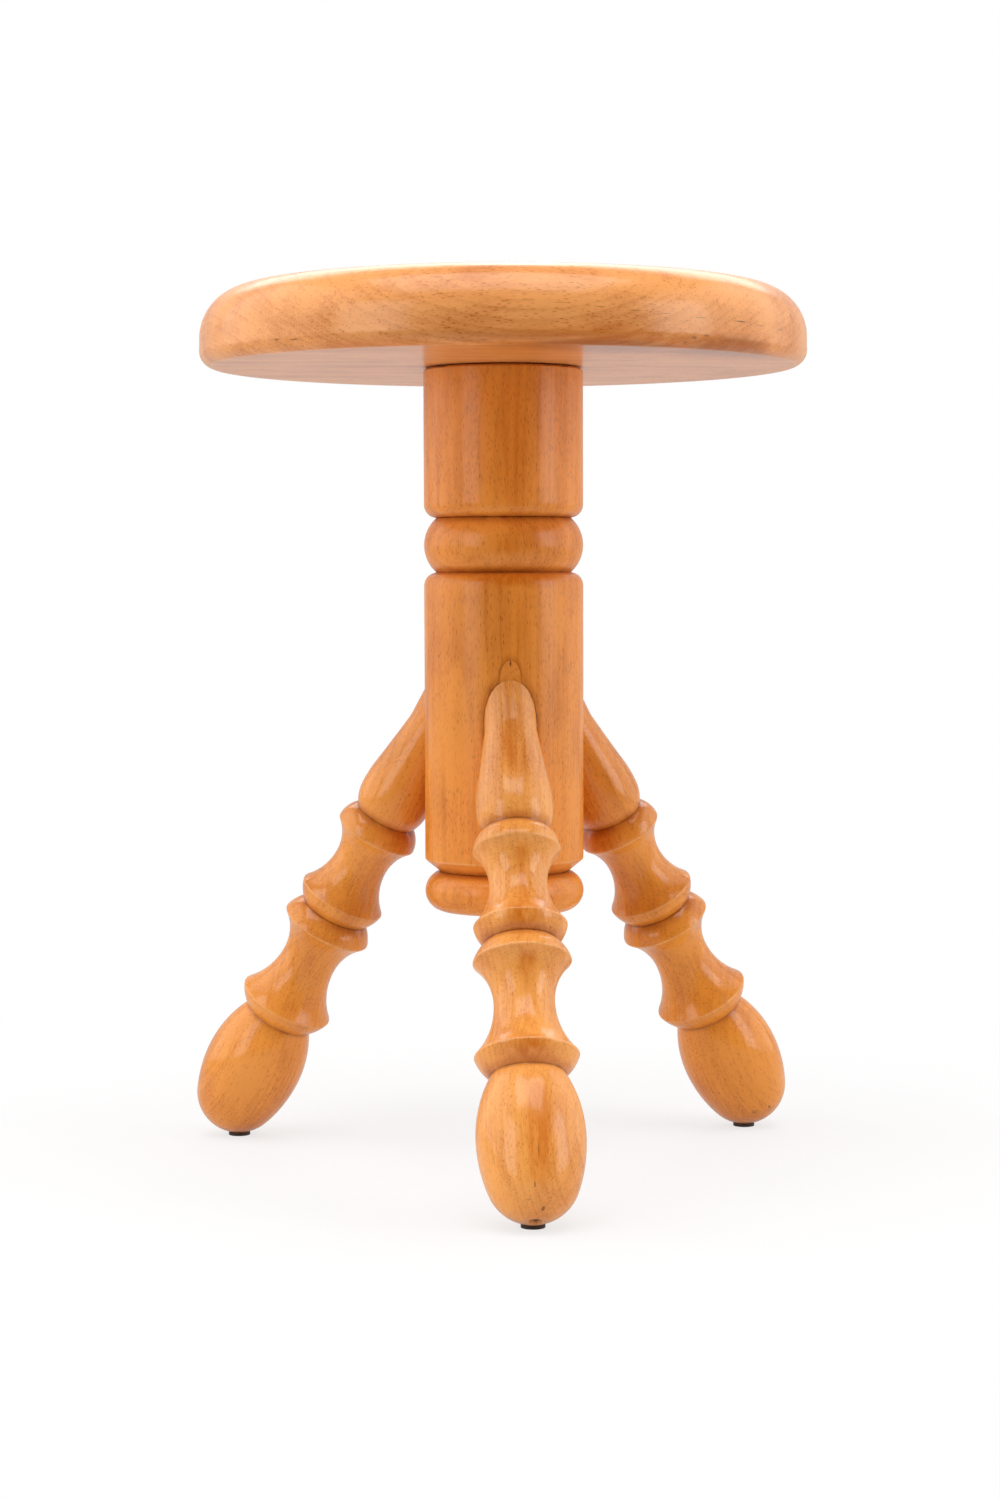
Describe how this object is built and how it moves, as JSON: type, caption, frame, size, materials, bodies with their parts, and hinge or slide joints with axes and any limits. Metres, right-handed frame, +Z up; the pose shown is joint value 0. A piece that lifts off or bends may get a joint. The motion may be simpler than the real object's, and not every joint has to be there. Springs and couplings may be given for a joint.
{
  "type": "stool",
  "caption": "Round wooden stool: a thick rounded seat on a turned column, with slanted turned legs that end in egg-shaped feet.",
  "frame": {"origin": "on the floor, under the middle of the stool's outline seen from above", "axes": "+Z up; the front leg points towards -Y, +X to the right of someone who looks at the front leg"},
  "size_m": [0.3232, 0.3381, 0.45],
  "materials": {
    "seat_wood": "honey-coloured beech under clear gloss lacquer",
    "column_wood": "honey-coloured beech under clear gloss lacquer",
    "leg_wood": "honey-coloured beech under clear gloss lacquer",
    "filler_wood": "honey-coloured beech under clear gloss lacquer",
    "glide": "dark brown, dull",
    "nail": "plain steel"
  },
  "bodies": {
    "root": {"seat_board_front": "seat_wood", "seat_board_middle": "seat_wood", "seat_board_rear": "seat_wood", "column": "column_wood", "mortise_filler": "filler_wood", "leg_front": "leg_wood", "leg_right": "leg_wood", "leg_left": "leg_wood", "glide_front": "glide", "glide_right": "glide", "glide_left": "glide", "glide_nail_front": "nail", "glide_nail_right": "nail", "glide_nail_left": "nail"}
  },
  "joints": []
}
